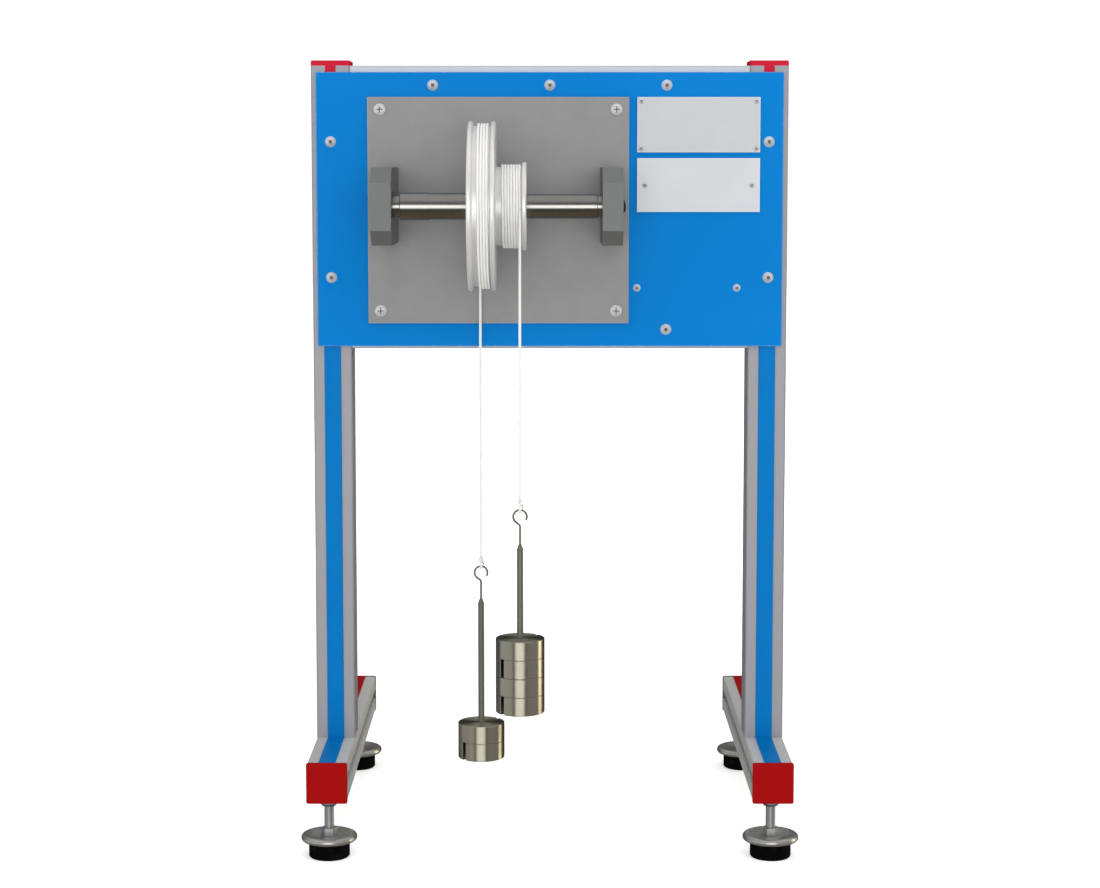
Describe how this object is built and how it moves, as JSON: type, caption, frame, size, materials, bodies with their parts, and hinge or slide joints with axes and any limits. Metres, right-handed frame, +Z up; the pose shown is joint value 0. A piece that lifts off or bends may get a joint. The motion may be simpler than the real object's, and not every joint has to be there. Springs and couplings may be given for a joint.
{
  "type": "wheel and axle apparatus",
  "caption": "Classroom wheel and axle on a slotted aluminium stand with a blue panel, slotted-disc loads hanging on cords from wheel and drum, and levelling feet.",
  "frame": {"origin": "on the bench, under the middle of the whole apparatus", "axes": "+Z up, +X to the right seen from the front, +Y from the front to the back"},
  "size_m": [0.3785, 0.3588, 0.604],
  "materials": {
    "profile": "matte anodised",
    "cap_red": "satin",
    "cap_grey": "satin",
    "strip_blue": "satin",
    "strip_red": "satin",
    "panel_blue": "satin powder coat",
    "plate_grey": "blasted",
    "label_plate": "satin",
    "fastener": "zinc plated",
    "support_grey": "blasted",
    "bearing_steel": "ground",
    "axle_steel": "polished",
    "wheel_metal": "turned",
    "black_screw": "black oxide",
    "cord": "braided",
    "hanger_metal": "nickel plated",
    "disc_metal": "turned",
    "foot_chrome": "plated",
    "foot_nut": "dark zinc",
    "rubber": "matte"
  },
  "bodies": {
    "stand": {"left_upright": "profile", "right_upright": "profile", "top_rail": "profile", "bottom_rail": "profile", "left_base_beam": "profile", "right_base_beam": "profile", "left_upright_cap": "cap_red", "right_upright_cap": "cap_red", "front_end_caps": "cap_red", "rear_end_caps": "cap_grey", "left_upright_strip": "strip_blue", "right_upright_strip": "strip_blue", "front_base_strips": "strip_blue", "rear_base_strips": "strip_red", "front_panel": "panel_blue", "mounting_plate": "plate_grey", "upper_label_plate": "label_plate", "lower_label_plate": "label_plate", "frame_screws": "fastener", "panel_screws": "fastener", "slot_nuts": "fastener", "plate_screws": "fastener", "label_screws": "fastener", "small_screws": "fastener", "left_bearing_support": "support_grey", "right_bearing_support": "support_grey", "support_screws": "fastener", "left_bearing_outer_ring": "bearing_steel", "right_bearing_outer_ring": "bearing_steel", "bearing_balls": "bearing_steel", "foot_nuts": "foot_nut"},
    "wheel_and_axle": {"axle": "axle_steel", "left_sleeve": "axle_steel", "wheel_key": "bearing_steel", "axle_end_screw": "black_screw", "stepped_wheel": "wheel_metal", "wheel_cord_winding": "cord", "axle_cord_winding": "cord", "left_bearing_inner_ring": "bearing_steel", "right_bearing_inner_ring": "bearing_steel"},
    "wheel_line": {"wheel_cord": "cord", "wheel_cord_loop": "cord"},
    "wheel_hanger": {"wheel_load_hanger": "hanger_metal"},
    "wheel_disc_1": {"wheel_load_disc_1": "disc_metal"},
    "wheel_disc_2": {"wheel_load_disc_2": "disc_metal"},
    "axle_line": {"axle_cord": "cord", "axle_cord_loop": "cord"},
    "axle_hanger": {"axle_load_hanger": "hanger_metal"},
    "axle_disc_1": {"axle_load_disc_1": "disc_metal"},
    "axle_disc_2": {"axle_load_disc_2": "disc_metal"},
    "axle_disc_3": {"axle_load_disc_3": "disc_metal"},
    "axle_disc_4": {"axle_load_disc_4": "disc_metal"},
    "foot_front_left": {"front_left_foot": "foot_chrome", "front_left_pad": "rubber"},
    "foot_front_right": {"front_right_foot": "foot_chrome", "front_right_pad": "rubber"},
    "foot_rear_left": {"rear_left_foot": "foot_chrome", "rear_left_pad": "rubber"},
    "foot_rear_right": {"rear_right_foot": "foot_chrome", "rear_right_pad": "rubber"}
  },
  "joints": [
    {"name": "wheel_turn", "type": "hinge", "parent": "stand", "child": "wheel_and_axle", "pos_m": [0, -0.11688, 0.494], "axis": [1, 0, 0], "range_deg": [-55, 200]},
    {"name": "wheel_load_lift", "type": "slide", "parent": "stand", "child": "wheel_line", "axis": [0, 0, 1], "range_m": [-0.0577, 0.2096], "deforming": ["wheel_cord"]},
    {"name": "wheel_load_swing", "type": "hinge", "parent": "wheel_line", "child": "wheel_hanger", "pos_m": [-0.05325, -0.05688, 0.21015], "axis": [0, 1, 0], "range_deg": [-15, 15]},
    {"name": "wheel_disc_1_lift", "type": "slide", "parent": "wheel_hanger", "child": "wheel_disc_1", "axis": [0, 0, 1], "range_m": [0, 0.015]},
    {"name": "wheel_disc_2_lift", "type": "slide", "parent": "wheel_disc_1", "child": "wheel_disc_2", "axis": [0, 0, 1], "range_m": [0, 0.015]},
    {"name": "axle_load_lift", "type": "slide", "parent": "stand", "child": "axle_line", "axis": [0, 0, 1], "range_m": [-0.1049, 0.0289], "deforming": ["axle_cord"]},
    {"name": "axle_load_swing", "type": "hinge", "parent": "axle_line", "child": "axle_hanger", "pos_m": [-0.022, -0.14688, 0.26765], "axis": [0, 1, 0], "range_deg": [-15, 15]},
    {"name": "axle_disc_1_lift", "type": "slide", "parent": "axle_hanger", "child": "axle_disc_1", "axis": [0, 0, 1], "range_m": [0, 0.015]},
    {"name": "axle_disc_2_lift", "type": "slide", "parent": "axle_disc_1", "child": "axle_disc_2", "axis": [0, 0, 1], "range_m": [0, 0.015]},
    {"name": "axle_disc_3_lift", "type": "slide", "parent": "axle_disc_2", "child": "axle_disc_3", "axis": [0, 0, 1], "range_m": [0, 0.015]},
    {"name": "axle_disc_4_lift", "type": "slide", "parent": "axle_disc_3", "child": "axle_disc_4", "axis": [0, 0, 1], "range_m": [0, 0.015]},
    {"name": "front_left_foot_height", "type": "slide", "parent": "stand", "child": "foot_front_left", "axis": [0, 0, 1], "range_m": [-0.01, 0.008]},
    {"name": "front_right_foot_height", "type": "slide", "parent": "stand", "child": "foot_front_right", "axis": [0, 0, 1], "range_m": [-0.01, 0.008]},
    {"name": "rear_left_foot_height", "type": "slide", "parent": "stand", "child": "foot_rear_left", "axis": [0, 0, 1], "range_m": [-0.01, 0.008]},
    {"name": "rear_right_foot_height", "type": "slide", "parent": "stand", "child": "foot_rear_right", "axis": [0, 0, 1], "range_m": [-0.01, 0.008]}
  ],
  "couplings": [
    {"joint": "wheel_load_lift", "follows": "wheel_turn", "m_per_rad": 0.06},
    {"joint": "axle_load_lift", "follows": "wheel_turn", "m_per_rad": -0.03}
  ]
}
